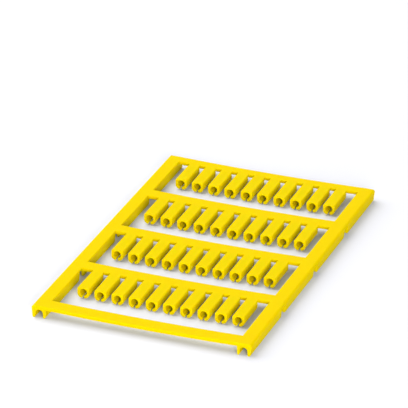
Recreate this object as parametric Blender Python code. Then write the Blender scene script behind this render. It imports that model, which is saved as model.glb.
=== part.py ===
"""Sheet of slip-on cable markers, moulded in one piece.

A flat ladder frame: two channel-section side rails joined by five thin crossbars.
Four of the bars carry a row of ten split sleeves, each with a flat top to print on,
a bore for the conductor and a slit along its underside. A thin neck joins every
sleeve to its bar, and the sleeve breaks off there.

Units are metres. +Z is up, the sleeves point towards -Y, and the origin lies midway
between the rails at the level of the surface that the rails stand on.
"""

import math

import bmesh
import bpy

MM = 0.001

# Sheet
SHEET_WIDTH = 72.0 * MM
SHEET_LENGTH = 120.0 * MM
SHEET_HEIGHT = 4.0 * MM

# Side rails: an inverted channel, open below and at both ends
RAIL_WIDTH = 4.85 * MM
RAIL_OUTER_DRAFT = 0.45 * MM
RAIL_INNER_DRAFT = 0.30 * MM
RAIL_SHOULDER_RADIUS = 0.90 * MM
RAIL_INNER_EDGE_RADIUS = 0.40 * MM
RAIL_TOE_RADIUS = 0.22 * MM
INNER_LEG_THICKNESS = 1.05 * MM
OUTER_LEG_THICKNESS = 1.40 * MM
CHANNEL_DRAFT = 0.15 * MM
CHANNEL_ROOF_HEIGHT = 2.75 * MM

# Notches across the rails' legs, below the top plate
NOTCH_COUNT = 3
NOTCH_PITCH = 30.50 * MM
NOTCH_SHIFT = 0.45 * MM
NOTCH_LENGTH = 3.45 * MM
NOTCH_ROOF_HEIGHT = 3.30 * MM
NOTCH_MOUTH_RADIUS = 0.70 * MM

# Crossbars
BAR_THICKNESS = 1.18 * MM
BAR_WIDTH = 4.70 * MM
REAR_BAR_WIDTH = 3.55 * MM
FRONT_BAR_WIDTH = 5.20 * MM
BAR_EDGE_RADIUS = 0.15 * MM
BAR_SEAT_IN_RAIL = 1.50 * MM
BAR_SAG = 0.45 * MM

# Rows of sleeves
ROW_COUNT = 4
ROW_PITCH = 28.78 * MM
SLEEVES_PER_ROW = 10
SLEEVE_PITCH = 5.69 * MM
SLEEVE_LENGTH = 12.30 * MM
SLEEVE_WIDTH = 3.95 * MM
SLEEVE_HEIGHT = 3.45 * MM
SLEEVE_EDGE_RADIUS = 0.40 * MM

# Neck between each sleeve and its bar
NECK_LENGTH = 0.90 * MM
NECK_WIDTH = 3.50 * MM
NECK_THICKNESS = 1.00 * MM
NECK_SEAT = 0.60 * MM

# Bore and slit of each sleeve
BORE_DIAMETER = 2.30 * MM
SLIT_WIDTH = 0.45 * MM

# Fineness of the round stretches
SLEEVE_ARC_STEPS = 14
BORE_ARC_STEPS = 18
ROOF_ARC_STEPS = 12
SHOULDER_ARC_STEPS = 5
EDGE_ARC_STEPS = 3

# How far a cutter reaches past what it cuts
CUTTER_MARGIN = 0.50 * MM

PLASTIC_COLOUR = (1.0, 0.73, 0.0, 1.0)
PLASTIC_ROUGHNESS = 0.42

RAIL_OUTER_X = SHEET_WIDTH / 2
RAIL_INNER_X = RAIL_OUTER_X - RAIL_WIDTH
REAR_Y = SHEET_LENGTH / 2
FRONT_Y = -SHEET_LENGTH / 2
REAR_BAR_FRONT_Y = REAR_Y - REAR_BAR_WIDTH


def arc(centre, radius, start, end, steps):
    """Points on an arc from start to end, both in degrees and both included."""
    points = []
    for step in range(steps + 1):
        angle = math.radians(start + (end - start) * step / steps)
        points.append((centre[0] + radius * math.cos(angle), centre[1] + radius * math.sin(angle)))
    return points


def prism(bm, outline, to_point, length_vector):
    """Extrude one closed outline; to_point turns each of its points into a 3-D one."""
    ring = [bm.verts.new(to_point(a, b)) for a, b in outline]
    face = bm.faces.new(ring)
    swept = bmesh.ops.extrude_face_region(bm, geom=[face], use_keep_orig=True)
    moved = [item for item in swept["geom"] if isinstance(item, bmesh.types.BMVert)]
    bmesh.ops.translate(bm, verts=moved, vec=length_vector)


def object_from(bm, name):
    """Turn a bmesh into an object at the origin, with its faces pointing out."""
    bmesh.ops.recalc_face_normals(bm, faces=bm.faces)
    mesh = bpy.data.meshes.new(name)
    bm.to_mesh(mesh)
    bm.free()
    item = bpy.data.objects.new(name, mesh)
    bpy.context.scene.collection.objects.link(item)
    return item


def rail_outline():
    """Section of the rail on the +X side, from its inner top edge round the outside.

    Both legs grow thinner towards the floor, and a round-roofed channel
    between them runs the whole length of the rail.
    """
    outer_foot_x = RAIL_OUTER_X - RAIL_OUTER_DRAFT
    inner_foot_x = RAIL_INNER_X + RAIL_INNER_DRAFT
    shoulder = (RAIL_OUTER_X - RAIL_SHOULDER_RADIUS, SHEET_HEIGHT - RAIL_SHOULDER_RADIUS)
    inner_edge = (RAIL_INNER_X + RAIL_INNER_EDGE_RADIUS, SHEET_HEIGHT - RAIL_INNER_EDGE_RADIUS)
    channel_inner_x = RAIL_INNER_X + INNER_LEG_THICKNESS
    channel_outer_x = RAIL_OUTER_X - OUTER_LEG_THICKNESS
    roof_radius = (channel_outer_x - channel_inner_x) / 2
    roof_centre = ((channel_inner_x + channel_outer_x) / 2, CHANNEL_ROOF_HEIGHT - roof_radius)
    toe = RAIL_TOE_RADIUS

    outline = arc(inner_edge, RAIL_INNER_EDGE_RADIUS, 180, 90, EDGE_ARC_STEPS)
    outline += arc(shoulder, RAIL_SHOULDER_RADIUS, 90, 0, SHOULDER_ARC_STEPS)
    outline += arc((outer_foot_x - toe, toe), toe, 0, -90, EDGE_ARC_STEPS)
    outline += arc((channel_outer_x + CHANNEL_DRAFT + toe, toe), toe, -90, -180, EDGE_ARC_STEPS)
    outline += arc(roof_centre, roof_radius, 0, 180, ROOF_ARC_STEPS)
    outline += arc((channel_inner_x - CHANNEL_DRAFT - toe, toe), toe, 0, -90, EDGE_ARC_STEPS)
    outline += arc((inner_foot_x + toe, toe), toe, -90, -180, EDGE_ARC_STEPS)
    return outline


def add_rails(bm):
    """Both rails, each the other's mirror image."""
    for side in (-1, 1):
        prism(bm, rail_outline(), lambda x, z, s=side: (s * x, FRONT_Y, z), (0, SHEET_LENGTH, 0))


def bar_spans():
    """Rear and front edge of every crossbar, from the rear of the sheet to its front."""
    spans = [(REAR_Y, REAR_BAR_FRONT_Y)]
    for row in range(1, ROW_COUNT):
        front = REAR_BAR_FRONT_Y - row * ROW_PITCH
        spans.append((front + BAR_WIDTH, front))
    spans.append((FRONT_Y + FRONT_BAR_WIDTH, FRONT_Y))
    return spans


def bar_outline(rear, front):
    """Section of a crossbar, a thin strip with softened edges."""
    top = SHEET_HEIGHT
    bottom = SHEET_HEIGHT - BAR_THICKNESS
    radius = BAR_EDGE_RADIUS
    outline = [(front, top), (rear, top)]
    outline += arc((rear - radius, bottom + radius), radius, 0, -90, EDGE_ARC_STEPS)
    outline += arc((front + radius, bottom + radius), radius, -90, -180, EDGE_ARC_STEPS)
    return outline


def crossbars():
    """The five bars, their ends seated in the rails' top plates."""
    reach = RAIL_INNER_X + BAR_SEAT_IN_RAIL
    bm = bmesh.new()
    for rear, front in bar_spans():
        prism(bm, bar_outline(rear, front), lambda y, z: (-reach, y, z), (2 * reach, 0, 0))
    return object_from(bm, "crossbar_blank")


def sleeve_outline():
    """Section of a sleeve: flat top, upright cheeks and a half-round underside."""
    half = SLEEVE_WIDTH / 2
    edge = SLEEVE_EDGE_RADIUS
    outline = arc((half - edge, SHEET_HEIGHT - edge), edge, 0, 90, EDGE_ARC_STEPS)
    outline += arc((edge - half, SHEET_HEIGHT - edge), edge, 90, 180, EDGE_ARC_STEPS)
    outline += arc((0, bore_height()), half, 180, 360, SLEEVE_ARC_STEPS)
    return outline


def bore_height():
    """Level of the bore's axis, which the half-round underside shares."""
    return SHEET_HEIGHT - SLEEVE_HEIGHT + SLEEVE_WIDTH / 2


def bore_outline():
    """Section of the bore with the slit below it, as one keyhole."""
    radius = BORE_DIAMETER / 2
    half_slit = SLIT_WIDTH / 2
    lean = math.degrees(math.asin(half_slit / radius))
    slit_foot = SHEET_HEIGHT - SLEEVE_HEIGHT - CUTTER_MARGIN
    outline = arc((0, bore_height()), radius, lean - 90, 270 - lean, BORE_ARC_STEPS)
    outline += [(-half_slit, slit_foot), (half_slit, slit_foot)]
    return outline


def sleeve_places():
    """Centre of every sleeve across the sheet, and the front edge of the bar behind it."""
    first_x = -SLEEVE_PITCH * (SLEEVES_PER_ROW - 1) / 2
    for row in range(ROW_COUNT):
        bar_front_y = REAR_BAR_FRONT_Y - row * ROW_PITCH
        for column in range(SLEEVES_PER_ROW):
            yield first_x + column * SLEEVE_PITCH, bar_front_y


def row_of_prisms(outline, start, length, name):
    """The same prism in front of every sleeve's place on its bar.

    start says how far in front of the bar the prisms begin, and length how far
    they reach from there towards the front of the sheet.
    """
    bm = bmesh.new()
    for x, bar_front_y in sleeve_places():
        prism(bm, outline, lambda a, z, x=x, y=bar_front_y - start: (x + a, y, z), (0, -length, 0))
    return object_from(bm, name)


def necks():
    """The thin plates that carry the sleeves, seated in the bar and in the sleeve."""
    half = NECK_WIDTH / 2
    bottom = SHEET_HEIGHT - NECK_THICKNESS
    outline = [(half, bottom), (half, SHEET_HEIGHT), (-half, SHEET_HEIGHT), (-half, bottom)]
    return row_of_prisms(outline, -NECK_SEAT, NECK_LENGTH + 2 * NECK_SEAT, "neck_blank")


def sleeves():
    """Every sleeve, still solid."""
    return row_of_prisms(sleeve_outline(), NECK_LENGTH, SLEEVE_LENGTH, "sleeve_blank")


def bore_cutters():
    """A keyhole cutter for each sleeve, which runs out under the neck and past the free end."""
    start = NECK_LENGTH - CUTTER_MARGIN
    return row_of_prisms(bore_outline(), start, SLEEVE_LENGTH + 2 * CUTTER_MARGIN, "bore_cutter")


def notch_outline(centre):
    """Side view of a notch, its mouth eased by a rounding on the legs' corners."""
    half = NOTCH_LENGTH / 2
    mouth = NOTCH_MOUTH_RADIUS
    outline = [(centre + half + mouth, -CUTTER_MARGIN)]
    outline += arc((centre + half + mouth, mouth), mouth, -90, -180, EDGE_ARC_STEPS)
    outline += [(centre + half, NOTCH_ROOF_HEIGHT), (centre - half, NOTCH_ROOF_HEIGHT)]
    outline += arc((centre - half - mouth, mouth), mouth, 0, -90, EDGE_ARC_STEPS)
    outline += [(centre - half - mouth, -CUTTER_MARGIN)]
    return outline


def notch_cutters():
    """One cutter per notch and rail, wider than the rail."""
    start = RAIL_INNER_X - CUTTER_MARGIN
    width = RAIL_WIDTH + 2 * CUTTER_MARGIN
    bm = bmesh.new()
    for index in range(NOTCH_COUNT):
        centre = NOTCH_SHIFT + (index - (NOTCH_COUNT - 1) / 2) * NOTCH_PITCH
        for side in (-1, 1):
            prism(
                bm,
                notch_outline(centre),
                lambda y, z, s=side: (s * start, y, z),
                (side * width, 0, 0),
            )
    return object_from(bm, "notch_cutter")


def combine(item, other, operation):
    """Join or cut an object with another, then remove the other."""
    step = item.modifiers.new(operation.title(), "BOOLEAN")
    step.operation = operation
    step.solver = "EXACT"
    step.object = other
    depsgraph = bpy.context.evaluated_depsgraph_get()
    mesh = bpy.data.meshes.new_from_object(item.evaluated_get(depsgraph))
    item.modifiers.clear()
    item.data = mesh
    bpy.data.objects.remove(other)


def sag(x):
    """How far the bars hang below the rails' level at a place across the sheet."""
    share = min(abs(x) / RAIL_INNER_X, 1.0)
    return BAR_SAG * (1 - share * share)


def let_bars_sag(item):
    """Bend the bars down between the rails, with the sleeves they carry.

    The bars are first given an edge across them in each space beside a sleeve,
    so that they bend there and not only at their ends.
    """
    bm = bmesh.new()
    bm.from_mesh(item.data)
    for index in range(SLEEVES_PER_ROW + 1):
        x = (index - SLEEVES_PER_ROW / 2) * SLEEVE_PITCH
        geometry = bm.verts[:] + bm.edges[:] + bm.faces[:]
        bmesh.ops.bisect_plane(bm, geom=geometry, dist=1e-6, plane_co=(x, 0, 0), plane_no=(1, 0, 0))
    for vertex in bm.verts:
        vertex.co.z -= sag(vertex.co.x)
    bmesh.ops.triangulate(bm, faces=bm.faces)
    bm.to_mesh(item.data)
    bm.free()


def plastic():
    """Yellow moulded plastic, slightly glossy."""
    material = bpy.data.materials.new("yellow_plastic")
    material.use_nodes = True
    shader = material.node_tree.nodes["Principled BSDF"]
    shader.inputs["Base Color"].default_value = PLASTIC_COLOUR
    shader.inputs["Roughness"].default_value = PLASTIC_ROUGHNESS
    shader.inputs["Metallic"].default_value = 0.0
    return material


def build():
    """Model the sheet as one solid."""
    for item in list(bpy.data.objects):
        bpy.data.objects.remove(item)
    bm = bmesh.new()
    add_rails(bm)
    sheet = object_from(bm, "marker_sheet")
    combine(sheet, crossbars(), "UNION")
    combine(sheet, necks(), "UNION")
    combine(sheet, sleeves(), "UNION")
    combine(sheet, notch_cutters(), "DIFFERENCE")
    combine(sheet, bore_cutters(), "DIFFERENCE")
    let_bars_sag(sheet)
    sheet.data.shade_smooth()
    sheet.data.set_sharp_from_angle(angle=math.radians(30))
    sheet.data.materials.append(plastic())


build()
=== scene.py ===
"""Portrait of a sheet of slip-on cable markers, moulded in one piece of yellow plastic.

Two channel-section side rails stand on the floor and carry five thin crossbars.
Each of four bars holds a row of ten sleeves: flat on top to print on, rounded below,
bored for a conductor and slit along the underside so that they can spring open.

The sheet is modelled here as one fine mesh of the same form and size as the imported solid,
with the softened edges, lead-in chamfers and moulded surface that the eye finds close by.
Units are metres, +Z is up and the sleeves point towards -Y.
"""

import logging
import math
from dataclasses import dataclass, field
from enum import Enum
from typing import Any, Callable, Iterable, Iterator, Sequence

import bmesh
import bpy
from mathutils import Matrix, Vector


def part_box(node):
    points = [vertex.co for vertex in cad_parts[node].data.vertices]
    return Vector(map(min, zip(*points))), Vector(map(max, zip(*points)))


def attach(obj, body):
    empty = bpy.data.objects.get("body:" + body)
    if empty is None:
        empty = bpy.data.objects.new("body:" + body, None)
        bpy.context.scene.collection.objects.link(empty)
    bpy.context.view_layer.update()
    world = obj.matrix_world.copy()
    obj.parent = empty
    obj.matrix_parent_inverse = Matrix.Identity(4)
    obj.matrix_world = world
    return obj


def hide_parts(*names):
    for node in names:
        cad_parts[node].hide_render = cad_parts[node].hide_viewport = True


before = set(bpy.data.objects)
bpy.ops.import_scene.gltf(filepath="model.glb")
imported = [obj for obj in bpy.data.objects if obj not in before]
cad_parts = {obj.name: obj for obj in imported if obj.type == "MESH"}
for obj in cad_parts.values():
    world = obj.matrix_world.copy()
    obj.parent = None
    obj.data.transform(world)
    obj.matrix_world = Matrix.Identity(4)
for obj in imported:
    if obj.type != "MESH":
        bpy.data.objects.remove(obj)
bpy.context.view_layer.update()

LOG = logging.getLogger("marker_sheet")
SHEET_NODE = "marker_sheet"
ROOT_BODY = "root"
MM = 0.001
WHITE = "#FFFFFF"

# How close two places or directions have to be to count as the same.
SAME_PLACE = 1e-6
SAME_DIRECTION = 1e-7
MERGE_DISTANCE = 1e-7

# A Mix node has several sockets of the same name, so its colour sockets go by number.
MIX_FACTOR = 0
MIX_FIRST_COLOUR = 6
MIX_SECOND_COLOUR = 7
MIX_COLOUR_RESULT = 2


class Side(Enum):
    """The side of the sheet that a rail runs along."""

    LEFT = -1
    RIGHT = 1


class Cut(Enum):
    """What a boolean does with its second solid."""

    JOIN = "UNION"
    REMOVE = "DIFFERENCE"


def linear_colour(code: str) -> tuple[float, float, float, float]:
    """Turn an sRGB hex colour into the linear values that a shader reads.

    Args:
        code: Six hex digits, with or without a leading hash.

    Returns:
        Red, green and blue in linear light, and an alpha of 1.
    """
    digits = code.lstrip("#")
    channels = []
    for start in (0, 2, 4):
        value = int(digits[start:start + 2], 16) / 255
        channels.append(value / 12.92 if value <= 0.04045 else ((value + 0.055) / 1.055) ** 2.4)
    return channels[0], channels[1], channels[2], 1.0


def add_node(
    tree: bpy.types.NodeTree,
    kind: str,
    settings: dict[str, Any] | None = None,
    inputs: dict[str | int, Any] | None = None,
) -> bpy.types.Node:
    """Add one node, set it up and link it.

    Args:
        tree: The node tree that gets the node.
        kind: The node's type, such as ShaderNodeTexNoise.
        settings: Properties of the node by name.
        inputs: Values or output sockets for its inputs, by socket name or number.

    Returns:
        The new node.
    """
    node = tree.nodes.new(kind)
    for name, value in (settings or {}).items():
        setattr(node, name, value)
    for name, value in (inputs or {}).items():
        if isinstance(value, bpy.types.NodeSocket):
            tree.links.new(value, node.inputs[name])
        else:
            node.inputs[name].default_value = value
    return node


def mixed_colour(
    tree: bpy.types.NodeTree, factor: Any, first: Any, second: Any,
) -> bpy.types.NodeSocket:
    """Mix two colours.

    Args:
        tree: The node tree that gets the Mix node.
        factor: The share of the second colour, a value or an output socket.
        first: The first colour, in linear light, or an output socket.
        second: The second colour, likewise.

    Returns:
        The output socket with the mixed colour.
    """
    node = add_node(
        tree, "ShaderNodeMix", settings={"data_type": "RGBA"},
        inputs={MIX_FACTOR: factor, MIX_FIRST_COLOUR: first, MIX_SECOND_COLOUR: second},
    )
    return node.outputs[MIX_COLOUR_RESULT]


def object_from(bm: bmesh.types.BMesh, name: str) -> bpy.types.Object:
    """Put a bmesh into the scene as an object at the origin, its faces pointing out.

    Args:
        bm: The finished bmesh, which is freed.
        name: The object's name.

    Returns:
        The new object.
    """
    bmesh.ops.recalc_face_normals(bm, faces=bm.faces[:])
    mesh = bpy.data.meshes.new(name)
    bm.to_mesh(mesh)
    bm.free()
    item = bpy.data.objects.new(name, mesh)
    bpy.context.scene.collection.objects.link(item)
    return item


def extruded(
    outline: Sequence[tuple[float, float]],
    place: Callable[[float, float], Vector],
    travel: Vector,
) -> bmesh.types.BMesh:
    """Extrude a flat outline into a prism.

    Args:
        outline: The outline's corners, in its own two coordinates.
        place: Turns a corner into a point in space.
        travel: How far and which way the outline is extruded.

    Returns:
        A bmesh that holds the prism.
    """
    bm = bmesh.new()
    face = bm.faces.new([bm.verts.new(place(a, b)) for a, b in outline])
    swept = bmesh.ops.extrude_face_region(bm, geom=[face], use_keep_orig=True)
    moved = [item for item in swept["geom"] if isinstance(item, bmesh.types.BMVert)]
    bmesh.ops.translate(bm, verts=moved, vec=travel)
    return bm


def block(size: Vector, centre: Vector) -> bmesh.types.BMesh:
    """Make a box that is square to the axes.

    Args:
        size: Its three sizes.
        centre: Its middle.

    Returns:
        A bmesh that holds the box.
    """
    bm = bmesh.new()
    place = Matrix.Translation(centre) @ Matrix.Diagonal(size.to_4d())
    bmesh.ops.create_cube(bm, size=1.0, matrix=place)
    return bm


def round_edges(
    bm: bmesh.types.BMesh,
    wanted: Callable[[bmesh.types.BMEdge], bool],
    radius: float,
    segments: int,
) -> None:
    """Round the edges that a test picks.

    Args:
        bm: The bmesh to work on.
        wanted: Says whether an edge is rounded.
        radius: The radius on a square corner.
        segments: Faces across the rounding.
    """
    edges = [edge for edge in bm.edges if wanted(edge)]
    bmesh.ops.bevel(
        bm, geom=edges, offset=radius, offset_type="OFFSET", segments=segments,
        profile=0.5, affect="EDGES", clamp_overlap=True, material=-1,
    )


def runs_along(edge: bmesh.types.BMEdge, axis: int) -> bool:
    """Say whether an edge is parallel to the axis with that number."""
    step = edge.verts[1].co - edge.verts[0].co
    return abs(abs(step[axis]) - step.length) < SAME_DIRECTION


def near(edge: bmesh.types.BMEdge, axis: int, value: float) -> bool:
    """Say whether both ends of an edge lie at a value on an axis."""
    return all(abs(vertex.co[axis] - value) < SAME_PLACE for vertex in edge.verts)


def combine(item: bpy.types.Object, other: bpy.types.Object, cut: Cut) -> None:
    """Join a solid to another or cut it with it, and remove the other.

    Args:
        item: The object that keeps the result.
        other: The object that is joined or cut away.
        cut: What is done with it.
    """
    step = item.modifiers.new(cut.name.title(), "BOOLEAN")
    step.operation = cut.value
    step.solver = "EXACT"
    step.object = other
    depsgraph = bpy.context.evaluated_depsgraph_get()
    mesh = bpy.data.meshes.new_from_object(item.evaluated_get(depsgraph))
    item.modifiers.clear()
    item.data = mesh
    bpy.data.objects.remove(other)


@dataclass(frozen=True)
class MouldedPlastic:
    """Polycarbonate coloured in the mass and moulded against a finely eroded tool.

    The tool's grain breaks the gloss into a soft sheen, and light enters a little way,
    so that thin walls and the sleeves' ends glow instead of turning brown in the shade.
    What it throws back on its surroundings is paler than what the camera sees, because
    the photograph's shadows and windows are nearly grey.
    """

    name: str = "moulded_yellow_plastic"
    colour: str = "#F2D000"
    deep_colour: str = "#F1CE00"
    spill_colour: str = "#D0C89C"
    roughness_low: float = 0.40
    roughness_high: float = 0.50
    ior: float = 1.50
    gloss: float = 0.01
    glow: float = 0.60
    glow_depth: float = 1.3 * MM
    glow_reach: tuple[float, float, float] = (1.0, 0.75, 0.10)
    flow_size: float = 9.0 * MM
    # Real grain, about 0.03 mm, is too fine to show, so it is drawn coarser.
    grain_size: float = 0.16 * MM
    grain_height: float = 0.004 * MM

    def material(self) -> bpy.types.Material:
        """Build the node material.

        Returns:
            The finished material.
        """
        material = bpy.data.materials.new(self.name)
        material.use_nodes = True
        tree = material.node_tree
        shader = tree.nodes["Principled BSDF"]
        place = add_node(tree, "ShaderNodeTexCoord").outputs["Object"]
        flow = add_node(
            tree, "ShaderNodeTexNoise",
            inputs={"Vector": place, "Scale": 1 / self.flow_size, "Detail": 3.0, "Roughness": 0.5},
        ).outputs["Fac"]
        tint = mixed_colour(
            tree, flow, linear_colour(self.colour), linear_colour(self.deep_colour),
        )
        rays = add_node(tree, "ShaderNodeLightPath").outputs
        spill = mixed_colour(
            tree, rays["Is Diffuse Ray"], tint, linear_colour(self.spill_colour),
        )
        grain = add_node(
            tree, "ShaderNodeTexNoise",
            inputs={"Vector": place, "Scale": 1 / self.grain_size, "Detail": 2.0, "Roughness": 0.6},
        ).outputs["Fac"]
        sheen = add_node(
            tree, "ShaderNodeMapRange",
            inputs={"Value": grain, "From Min": 0.3, "From Max": 0.7,
                    "To Min": self.roughness_low, "To Max": self.roughness_high},
        ).outputs["Result"]
        bump = add_node(
            tree, "ShaderNodeBump",
            inputs={"Height": grain, "Strength": 0.5, "Distance": self.grain_height},
        ).outputs["Normal"]
        tree.links.new(spill, shader.inputs["Base Color"])
        tree.links.new(sheen, shader.inputs["Roughness"])
        tree.links.new(bump, shader.inputs["Normal"])
        shader.inputs["IOR"].default_value = self.ior
        shader.inputs["Specular IOR Level"].default_value = self.gloss
        shader.inputs["Metallic"].default_value = 0.0
        shader.inputs["Subsurface Weight"].default_value = self.glow
        shader.inputs["Subsurface Scale"].default_value = self.glow_depth
        shader.inputs["Subsurface Radius"].default_value = self.glow_reach
        return material


@dataclass(frozen=True)
class StudioPaper:
    """Matt white paper, a little whiter to the camera than in the light that it throws back."""

    name: str = "white_studio_paper"
    seen_colour: str = "#F5F4F6"
    bounce_colour: str = "#E8E8EA"

    def material(self) -> bpy.types.Material:
        """Build the node material.

        Returns:
            The finished material.
        """
        material = bpy.data.materials.new(self.name)
        material.use_nodes = True
        tree = material.node_tree
        tree.nodes.remove(tree.nodes["Principled BSDF"])
        rays = add_node(tree, "ShaderNodeLightPath").outputs
        bounce, seen = (
            add_node(
                tree, "ShaderNodeBsdfDiffuse", inputs={"Color": linear_colour(colour)},
            ).outputs["BSDF"]
            for colour in (self.bounce_colour, self.seen_colour)
        )
        mixed = add_node(
            tree, "ShaderNodeMixShader", inputs={0: rays["Is Camera Ray"], 1: bounce, 2: seen},
        )
        tree.links.new(mixed.outputs["Shader"], tree.nodes["Material Output"].inputs["Surface"])
        return material


@dataclass
class SideRail:
    """Inverted channel that runs the whole length of the sheet and stands on its two legs."""

    outer_x: float
    length: float
    height: float
    width: float = 4.85 * MM
    outer_draft: float = 0.45 * MM
    inner_draft: float = 0.30 * MM
    shoulder_radius: float = 0.90 * MM
    inner_edge_radius: float = 0.40 * MM
    toe_radius: float = 0.22 * MM
    inner_leg: float = 1.05 * MM
    outer_leg: float = 1.40 * MM
    channel_draft: float = 0.15 * MM
    roof_height: float = 2.75 * MM
    # A full half-round would leave no face between the roof's two roundings.
    roof_fill: float = 0.98
    roof_segments: int = 12
    shoulder_segments: int = 8
    edge_segments: int = 5

    @property
    def inner_x(self) -> float:
        """Distance of the rail's inner face from the sheet's middle."""
        return self.outer_x - self.width

    @property
    def channel_span(self) -> tuple[float, float]:
        """Inner and outer side of the channel below its roof."""
        return self.inner_x + self.inner_leg, self.outer_x - self.outer_leg

    def corners(self) -> dict[str, tuple[float, float]]:
        """Name the corners of the section before they are rounded.

        Returns:
            Distance from the middle and height of each corner, in order round the section.
        """
        inner, outer = self.channel_span
        return {
            "inner_edge": (self.inner_x, self.height),
            "shoulder": (self.outer_x, self.height),
            "outer_toe": (self.outer_x - self.outer_draft, 0.0),
            "outer_toe_inside": (outer + self.channel_draft, 0.0),
            "roof_outer": (outer, self.roof_height),
            "roof_inner": (inner, self.roof_height),
            "inner_toe_outside": (inner - self.channel_draft, 0.0),
            "inner_toe": (self.inner_x + self.inner_draft, 0.0),
        }

    def radii(self) -> dict[str, tuple[float, int]]:
        """Give each corner's radius and the faces across it.

        Returns:
            Radius and segments by corner name.
        """
        inner, outer = self.channel_span
        roof = ((outer - inner) / 2 * self.roof_fill, self.roof_segments)
        toe = (self.toe_radius, self.edge_segments)
        return {
            "inner_edge": (self.inner_edge_radius, self.edge_segments),
            "shoulder": (self.shoulder_radius, self.shoulder_segments),
            "outer_toe": toe,
            "outer_toe_inside": toe,
            "roof_outer": roof,
            "roof_inner": roof,
            "inner_toe_outside": toe,
            "inner_toe": toe,
        }

    def build(self, side: Side) -> bpy.types.Object:
        """Extrude the section along the sheet and round its corners.

        Args:
            side: The side of the sheet that the rail is on.

        Returns:
            The rail as a closed solid.
        """
        corners = self.corners()
        sign = side.value
        front = -self.length / 2
        bm = extruded(
            list(corners.values()),
            lambda x, z: Vector((sign * x, front, z)),
            Vector((0, self.length, 0)),
        )
        for name, (radius, segments) in self.radii().items():
            x, z = corners[name]
            round_edges(
                bm,
                lambda edge, x=x, z=z: near(edge, 0, sign * x) and near(edge, 2, z),
                radius,
                segments,
            )
        return object_from(bm, f"{side.name.lower()}_rail")


@dataclass
class Notch:
    """Gap across both legs of a rail, under its top plate, with eased corners at the floor."""

    length: float = 3.45 * MM
    roof_height: float = 3.30 * MM
    mouth_radius: float = 0.70 * MM
    mouth_segments: int = 6
    count: int = 3
    pitch: float = 30.50 * MM
    shift: float = 0.45 * MM
    margin: float = 0.50 * MM

    def cutter(self, rail: SideRail, side: Side, index: int) -> bpy.types.Object:
        """Make the solid that one notch takes away.

        Args:
            rail: The rail that is notched.
            side: The side that the rail is on.
            index: The notch's number, from the front.

        Returns:
            The cutter, wider than the rail.
        """
        centre = self.shift + (index - (self.count - 1) / 2) * self.pitch
        half = self.length / 2
        flare = half + self.mouth_radius
        outline = [
            (-flare, -self.margin), (flare, -self.margin), (flare, 0.0), (half, 0.0),
            (half, self.roof_height), (-half, self.roof_height), (-half, 0.0), (-flare, 0.0),
        ]
        start = side.value * (rail.inner_x - self.margin)
        travel = side.value * (rail.width + 2 * self.margin)
        bm = extruded(outline, lambda y, z: Vector((start, centre + y, z)), Vector((travel, 0, 0)))
        for sign in (-1, 1):
            corner = centre + sign * half
            round_edges(
                bm,
                lambda edge, y=corner: near(edge, 1, y) and near(edge, 2, 0.0),
                self.mouth_radius,
                self.mouth_segments,
            )
        return object_from(bm, "notch_cutter")


@dataclass
class Crossbar:
    """Thin flat strip from rail to rail."""

    rear: float
    front: float
    half_span: float
    top: float
    thickness: float = 1.18 * MM
    edge_radius: float = 0.15 * MM
    edge_segments: int = 3

    def build(self) -> bpy.types.Object:
        """Make the strip from a box and soften its long edges.

        Returns:
            The bar as a closed solid, its ends inside the rails.
        """
        bm = block(
            Vector((2 * self.half_span, self.rear - self.front, self.thickness)),
            Vector((0, (self.rear + self.front) / 2, self.top - self.thickness / 2)),
        )
        round_edges(bm, lambda edge: runs_along(edge, 0), self.edge_radius, self.edge_segments)
        return object_from(bm, "crossbar")


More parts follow.
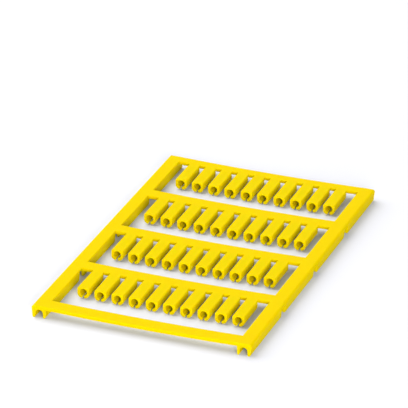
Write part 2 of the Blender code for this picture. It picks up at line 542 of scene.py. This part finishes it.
@dataclass
class Sleeve:
    """One marker: a short tube, flat on top, with a chamfered mouth and a slit below.

    The slit widens at its foot, which leaves a small lobe on either side of it. A thin neck
    holds the sleeve a little in front of its bar, and it breaks off there.
    """

    top: float
    length: float = 12.30 * MM
    width: float = 3.95 * MM
    height: float = 3.45 * MM
    edge_radius: float = 0.40 * MM
    edge_segments: int = 4
    underside_radius: float = 1.50 * MM
    underside_segments: int = 10
    end_radius: float = 0.12 * MM
    end_segments: int = 2
    bore_diameter: float = 2.30 * MM
    bore_steps: int = 32
    mouth_diameter: float = 2.60 * MM
    mouth_depth: float = 0.20 * MM
    slit_width: float = 0.50 * MM
    slit_flare_width: float = 1.10 * MM
    slit_flare_height: float = 0.45 * MM
    neck_length: float = 0.90 * MM
    neck_width: float = 3.50 * MM
    neck_thickness: float = 1.00 * MM
    neck_seat: float = 0.60 * MM
    margin: float = 0.50 * MM

    @property
    def axis_height(self) -> float:
        """Level of the bore, half the sleeve's width above the underside."""
        return self.top - self.height + self.width / 2

    def span(self, bar_front: float) -> tuple[float, float]:
        """Give the rear end and the free end of a sleeve that hangs on a bar.

        Args:
            bar_front: The bar's front edge.

        Returns:
            Both ends along the sheet.
        """
        rear = bar_front - self.neck_length
        return rear, rear - self.length

    def neck(self, x: float, bar_front: float) -> bmesh.types.BMesh:
        """Make the neck, seated in the bar and in the sleeve.

        Args:
            x: The sleeve's middle across the sheet.
            bar_front: The front edge of its bar.

        Returns:
            The neck as a bmesh.
        """
        rear = self.span(bar_front)[0]
        size = Vector((self.neck_width, self.neck_length + 2 * self.neck_seat, self.neck_thickness))
        return block(size, Vector((x, (bar_front + rear) / 2, self.top - self.neck_thickness / 2)))

    def blank(self, x: float, bar_front: float) -> bmesh.types.BMesh:
        """Make the sleeve before it is bored.

        Args:
            x: Its middle across the sheet.
            bar_front: The front edge of its bar.

        Returns:
            The blank as a bmesh.
        """
        rear, free = self.span(bar_front)
        base = self.top - self.height
        bm = block(
            Vector((self.width, self.length, self.height)),
            Vector((x, (rear + free) / 2, self.top - self.height / 2)),
        )
        for level, radius, segments in (
            (base, self.underside_radius, self.underside_segments),
            (self.top, self.edge_radius, self.edge_segments),
        ):
            round_edges(
                bm,
                lambda edge, z=level: runs_along(edge, 1) and near(edge, 2, z),
                radius,
                segments,
            )
        round_edges(
            bm,
            lambda edge: near(edge, 1, free) or near(edge, 1, rear),
            self.end_radius,
            self.end_segments,
        )
        return bm

    def bore(self, x: float, bar_front: float) -> bmesh.types.BMesh:
        """Make the bore's cutter, with its chamfered mouth at the free end.

        Args:
            x: The sleeve's middle across the sheet.
            bar_front: The front edge of its bar.

        Returns:
            A turned solid that runs out under the neck and past the free end.
        """
        bm = bmesh.new()
        rear, free = self.span(bar_front)
        profile = [
            (0.0, rear + self.margin),
            (self.bore_diameter / 2, rear + self.margin),
            (self.bore_diameter / 2, free + self.mouth_depth),
            (self.mouth_diameter / 2, free),
            (self.mouth_diameter / 2, free - self.margin),
            (0.0, free - self.margin),
        ]
        points = [bm.verts.new((x + radius, y, self.axis_height)) for radius, y in profile]
        edges = [bm.edges.new(pair) for pair in zip(points, points[1:])]
        bmesh.ops.spin(
            bm, geom=points + edges, cent=(x, 0, self.axis_height), axis=(0, 1, 0),
            angle=2 * math.pi, steps=self.bore_steps, use_merge=True,
        )
        bmesh.ops.remove_doubles(bm, verts=bm.verts[:], dist=MERGE_DISTANCE)
        return bm

    def slit(self, x: float, bar_front: float) -> bmesh.types.BMesh:
        """Make the slit's cutter, from the bore's axis down through the flared underside.

        Args:
            x: The sleeve's middle across the sheet.
            bar_front: The front edge of its bar.

        Returns:
            An upright prism as long as the bore's cutter, wider at its foot.
        """
        free = self.span(bar_front)[1]
        base = self.top - self.height
        flare_top = base + self.slit_flare_height
        half_slit = self.slit_width / 2
        half_flare = self.slit_flare_width / 2
        outline = [
            (half_slit, self.axis_height), (-half_slit, self.axis_height),
            (-half_slit, flare_top), (-half_flare, base), (-half_flare, base - self.margin),
            (half_flare, base - self.margin), (half_flare, base), (half_slit, flare_top),
        ]
        return extruded(
            outline,
            lambda a, z: Vector((x + a, free - self.margin, z)),
            Vector((0, self.length + 2 * self.margin, 0)),
        )


def gathered(parts: Iterable[bmesh.types.BMesh], name: str) -> bpy.types.Object:
    """Gather several solids that don't touch in one object.

    Args:
        parts: The solids, which are freed.
        name: The object's name.

    Returns:
        One object that holds them all.
    """
    whole = bmesh.new()
    for part in parts:
        bmesh.ops.recalc_face_normals(part, faces=part.faces[:])
        carrier = bpy.data.meshes.new("carrier")
        part.to_mesh(carrier)
        part.free()
        whole.from_mesh(carrier)
        bpy.data.meshes.remove(carrier)
    return object_from(whole, name)


@dataclass
class MarkerSheet:
    """The whole moulding: rails, bars and sleeves in one solid. The bars sag a little."""

    plastic: MouldedPlastic = field(default_factory=MouldedPlastic)
    notch: Notch = field(default_factory=Notch)
    rear_bar_width: float = 3.55 * MM
    bar_width: float = 4.70 * MM
    front_bar_width: float = 5.20 * MM
    bar_seat: float = 1.50 * MM
    bar_sag: float = 0.45 * MM
    row_count: int = 4
    row_pitch: float = 28.78 * MM
    sleeves_per_row: int = 10
    sleeve_pitch: float = 5.69 * MM
    sharp_angle: float = 35.0

    def __post_init__(self) -> None:
        """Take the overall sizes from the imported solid."""
        low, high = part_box(SHEET_NODE)
        self.rear_y = high.y
        self.front_y = low.y
        self.top = high.z
        self.rail = SideRail(outer_x=high.x, length=high.y - low.y, height=high.z)
        self.sleeve = Sleeve(top=high.z)

    @property
    def rear_bar_front(self) -> float:
        """Where the rear bar ends and its row of sleeves begins."""
        return self.rear_y - self.rear_bar_width

    def bars(self) -> Iterator[Crossbar]:
        """Yield every crossbar, from the rear to the front."""
        half_span = self.rail.inner_x + self.bar_seat
        spans = [(self.rear_y, self.rear_bar_front)]
        for row in range(1, self.row_count):
            front = self.rear_bar_front - row * self.row_pitch
            spans.append((front + self.bar_width, front))
        spans.append((self.front_y + self.front_bar_width, self.front_y))
        for rear, front in spans:
            yield Crossbar(rear=rear, front=front, half_span=half_span, top=self.top)

    def places(self) -> Iterator[tuple[float, float]]:
        """Yield every sleeve's middle across the sheet and the front edge of its bar."""
        first = -self.sleeve_pitch * (self.sleeves_per_row - 1) / 2
        for row in range(self.row_count):
            bar_front = self.rear_bar_front - row * self.row_pitch
            for column in range(self.sleeves_per_row):
                yield first + column * self.sleeve_pitch, bar_front

    def sag_at(self, x: float) -> float:
        """Give the bars' drop below the rails at a place across the sheet."""
        share = min(abs(x) / self.rail.inner_x, 1.0)
        return self.bar_sag * (1 - share * share)

    def bend(self, item: bpy.types.Object) -> None:
        """Bend the bars and their sleeves down between the rails.

        Args:
            item: The sheet, still flat.
        """
        bm = bmesh.new()
        bm.from_mesh(item.data)
        for index in range(self.sleeves_per_row + 1):
            x = (index - self.sleeves_per_row / 2) * self.sleeve_pitch
            everything = bm.verts[:] + bm.edges[:] + bm.faces[:]
            bmesh.ops.bisect_plane(
                bm, geom=everything, dist=MERGE_DISTANCE, plane_co=(x, 0, 0), plane_no=(1, 0, 0),
            )
        for vertex in bm.verts:
            vertex.co.z -= self.sag_at(vertex.co.x)
        bm.to_mesh(item.data)
        bm.free()

    def build(self) -> bpy.types.Object:
        """Model the sheet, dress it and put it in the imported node's place.

        Returns:
            The finished piece.
        """
        item = self.rail.build(Side.LEFT)
        item.name = "moulded_sheet"
        combine(item, self.rail.build(Side.RIGHT), Cut.JOIN)
        LOG.info("rails: %d faces", len(item.data.polygons))
        for side in Side:
            for index in range(self.notch.count):
                combine(item, self.notch.cutter(self.rail, side, index), Cut.REMOVE)
        LOG.info("notches: %d faces", len(item.data.polygons))
        for bar in self.bars():
            combine(item, bar.build(), Cut.JOIN)
        LOG.info("crossbars: %d faces", len(item.data.polygons))
        places = list(self.places())
        combine(item, gathered((self.sleeve.neck(*spot) for spot in places), "necks"), Cut.JOIN)
        combine(item, gathered((self.sleeve.blank(*spot) for spot in places), "sleeves"), Cut.JOIN)
        LOG.info("sleeves: %d faces", len(item.data.polygons))
        combine(item, gathered((self.sleeve.bore(*spot) for spot in places), "bores"), Cut.REMOVE)
        combine(item, gathered((self.sleeve.slit(*spot) for spot in places), "slits"), Cut.REMOVE)
        LOG.info("bores and slits: %d faces", len(item.data.polygons))
        self.bend(item)
        self.dress(item)
        return item

    def dress(self, item: bpy.types.Object) -> None:
        """Shade the sheet, give it its plastic and hang it on the frame.

        Args:
            item: The modelled sheet.
        """
        item.data.name = item.name
        item.data.shade_smooth()
        item.data.set_sharp_from_angle(angle=math.radians(self.sharp_angle))
        weights = item.modifiers.new("Even shading", "WEIGHTED_NORMAL")
        weights.keep_sharp = True
        item.data.materials.clear()
        item.data.materials.append(self.plastic.material())
        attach(item, ROOT_BODY)
        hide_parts(SHEET_NODE)


@dataclass
class Softbox:
    """A square soft lamp that looks at a point of the scene."""

    name: str
    direction: tuple[float, float, float]
    distance: float
    size: float
    watts: float

    def build(self, target: Vector) -> None:
        """Hang the lamp.

        Args:
            target: The point that it looks at.
        """
        lamp = bpy.data.lights.new(self.name, "AREA")
        lamp.shape = "SQUARE"
        lamp.size = self.size
        lamp.energy = self.watts
        item = bpy.data.objects.new(self.name, lamp)
        bpy.context.scene.collection.objects.link(item)
        away = Vector(self.direction).normalized()
        item.location = target + away * self.distance
        item.rotation_euler = away.to_track_quat("Z", "Y").to_euler()


@dataclass
class Studio:
    """White paper, a dim dome, three soft lamps and a long lens."""

    paper: StudioPaper = field(default_factory=StudioPaper)
    floor_size: float = 8.0
    floor_drop: float = 0.02 * MM
    dome_colour: str = "#EEF4FF"
    dome_strength: float = 0.33
    azimuth: float = 19.867
    elevation: float = 25.229
    roll: float = 1.069
    distance: float = 1.3122
    target: tuple[float, float, float] = (-0.01497, 0.03640, 0.0)
    lens: float = 354.4
    sensor: float = 36.0
    clip_end: float = 20.0
    lamp_target: tuple[float, float, float] = (0.0, 0.0, 0.0)
    lamps: tuple[Softbox, ...] = (
        Softbox("overhead_softbox", (-0.66, 0.10, 0.78), 0.95, 1.2, 10.5),
        Softbox("rear_softbox", (-0.35, 0.80, 0.60), 1.0, 0.8, 1.5),
        Softbox("front_softbox", (0.50, -0.88, 0.28), 1.0, 0.4, 7.7),
    )

    def add_floor(self) -> None:
        """Lay the paper, a little below the rails' toes so that the two never coincide."""
        bm = bmesh.new()
        bmesh.ops.create_grid(bm, x_segments=1, y_segments=1, size=self.floor_size / 2)
        bmesh.ops.translate(bm, verts=bm.verts[:], vec=(0, 0, -self.floor_drop))
        floor = object_from(bm, "paper_floor")
        floor.data.materials.append(self.paper.material())

    def add_world(self) -> None:
        """Light the scene dimly from all round, white where the camera sees past the paper."""
        world = bpy.data.worlds.new("studio_dome")
        world.use_nodes = True
        tree = world.node_tree
        backdrop = tree.nodes["Background"]
        rays = add_node(tree, "ShaderNodeLightPath").outputs
        strength = add_node(
            tree, "ShaderNodeMix", settings={"data_type": "FLOAT"},
            inputs={"Factor": rays["Is Camera Ray"], "A": self.dome_strength, "B": 1.0},
        )
        tint = mixed_colour(
            tree, rays["Is Camera Ray"], linear_colour(self.dome_colour), linear_colour(WHITE),
        )
        tree.links.new(tint, backdrop.inputs["Color"])
        tree.links.new(strength.outputs["Result"], backdrop.inputs["Strength"])
        bpy.context.scene.world = world

    def add_camera(self) -> None:
        """Set up the camera at the photograph's angle."""
        azimuth = math.radians(self.azimuth)
        elevation = math.radians(self.elevation)
        back = Vector((
            math.sin(azimuth) * math.cos(elevation),
            -math.cos(azimuth) * math.cos(elevation),
            math.sin(elevation),
        ))
        turn = Matrix.Rotation(math.radians(self.roll), 3, back)
        right = turn @ Vector((math.cos(azimuth), math.sin(azimuth), 0))
        camera = bpy.data.objects.new("camera", bpy.data.cameras.new("camera"))
        bpy.context.scene.collection.objects.link(camera)
        pose = Matrix((right, back.cross(right), back)).transposed().to_4x4()
        pose.translation = Vector(self.target) + back * self.distance
        camera.matrix_world = pose
        camera.data.lens = self.lens
        camera.data.sensor_width = self.sensor
        camera.data.clip_end = self.clip_end
        bpy.context.scene.camera = camera

    def build(self) -> None:
        """Set the whole studio up."""
        bpy.context.scene.view_settings.view_transform = "Standard"
        self.add_floor()
        self.add_world()
        self.add_camera()
        for lamp in self.lamps:
            lamp.build(Vector(self.lamp_target))


def main() -> None:
    """Build the sheet and the studio, and log the sheet's face count."""
    logging.basicConfig(level=logging.INFO, format="%(name)s: %(message)s")
    sheet = MarkerSheet().build()
    LOG.info("%s: %d faces", sheet.name, len(sheet.data.polygons))
    Studio().build()


if __name__ == "__main__":
    main()
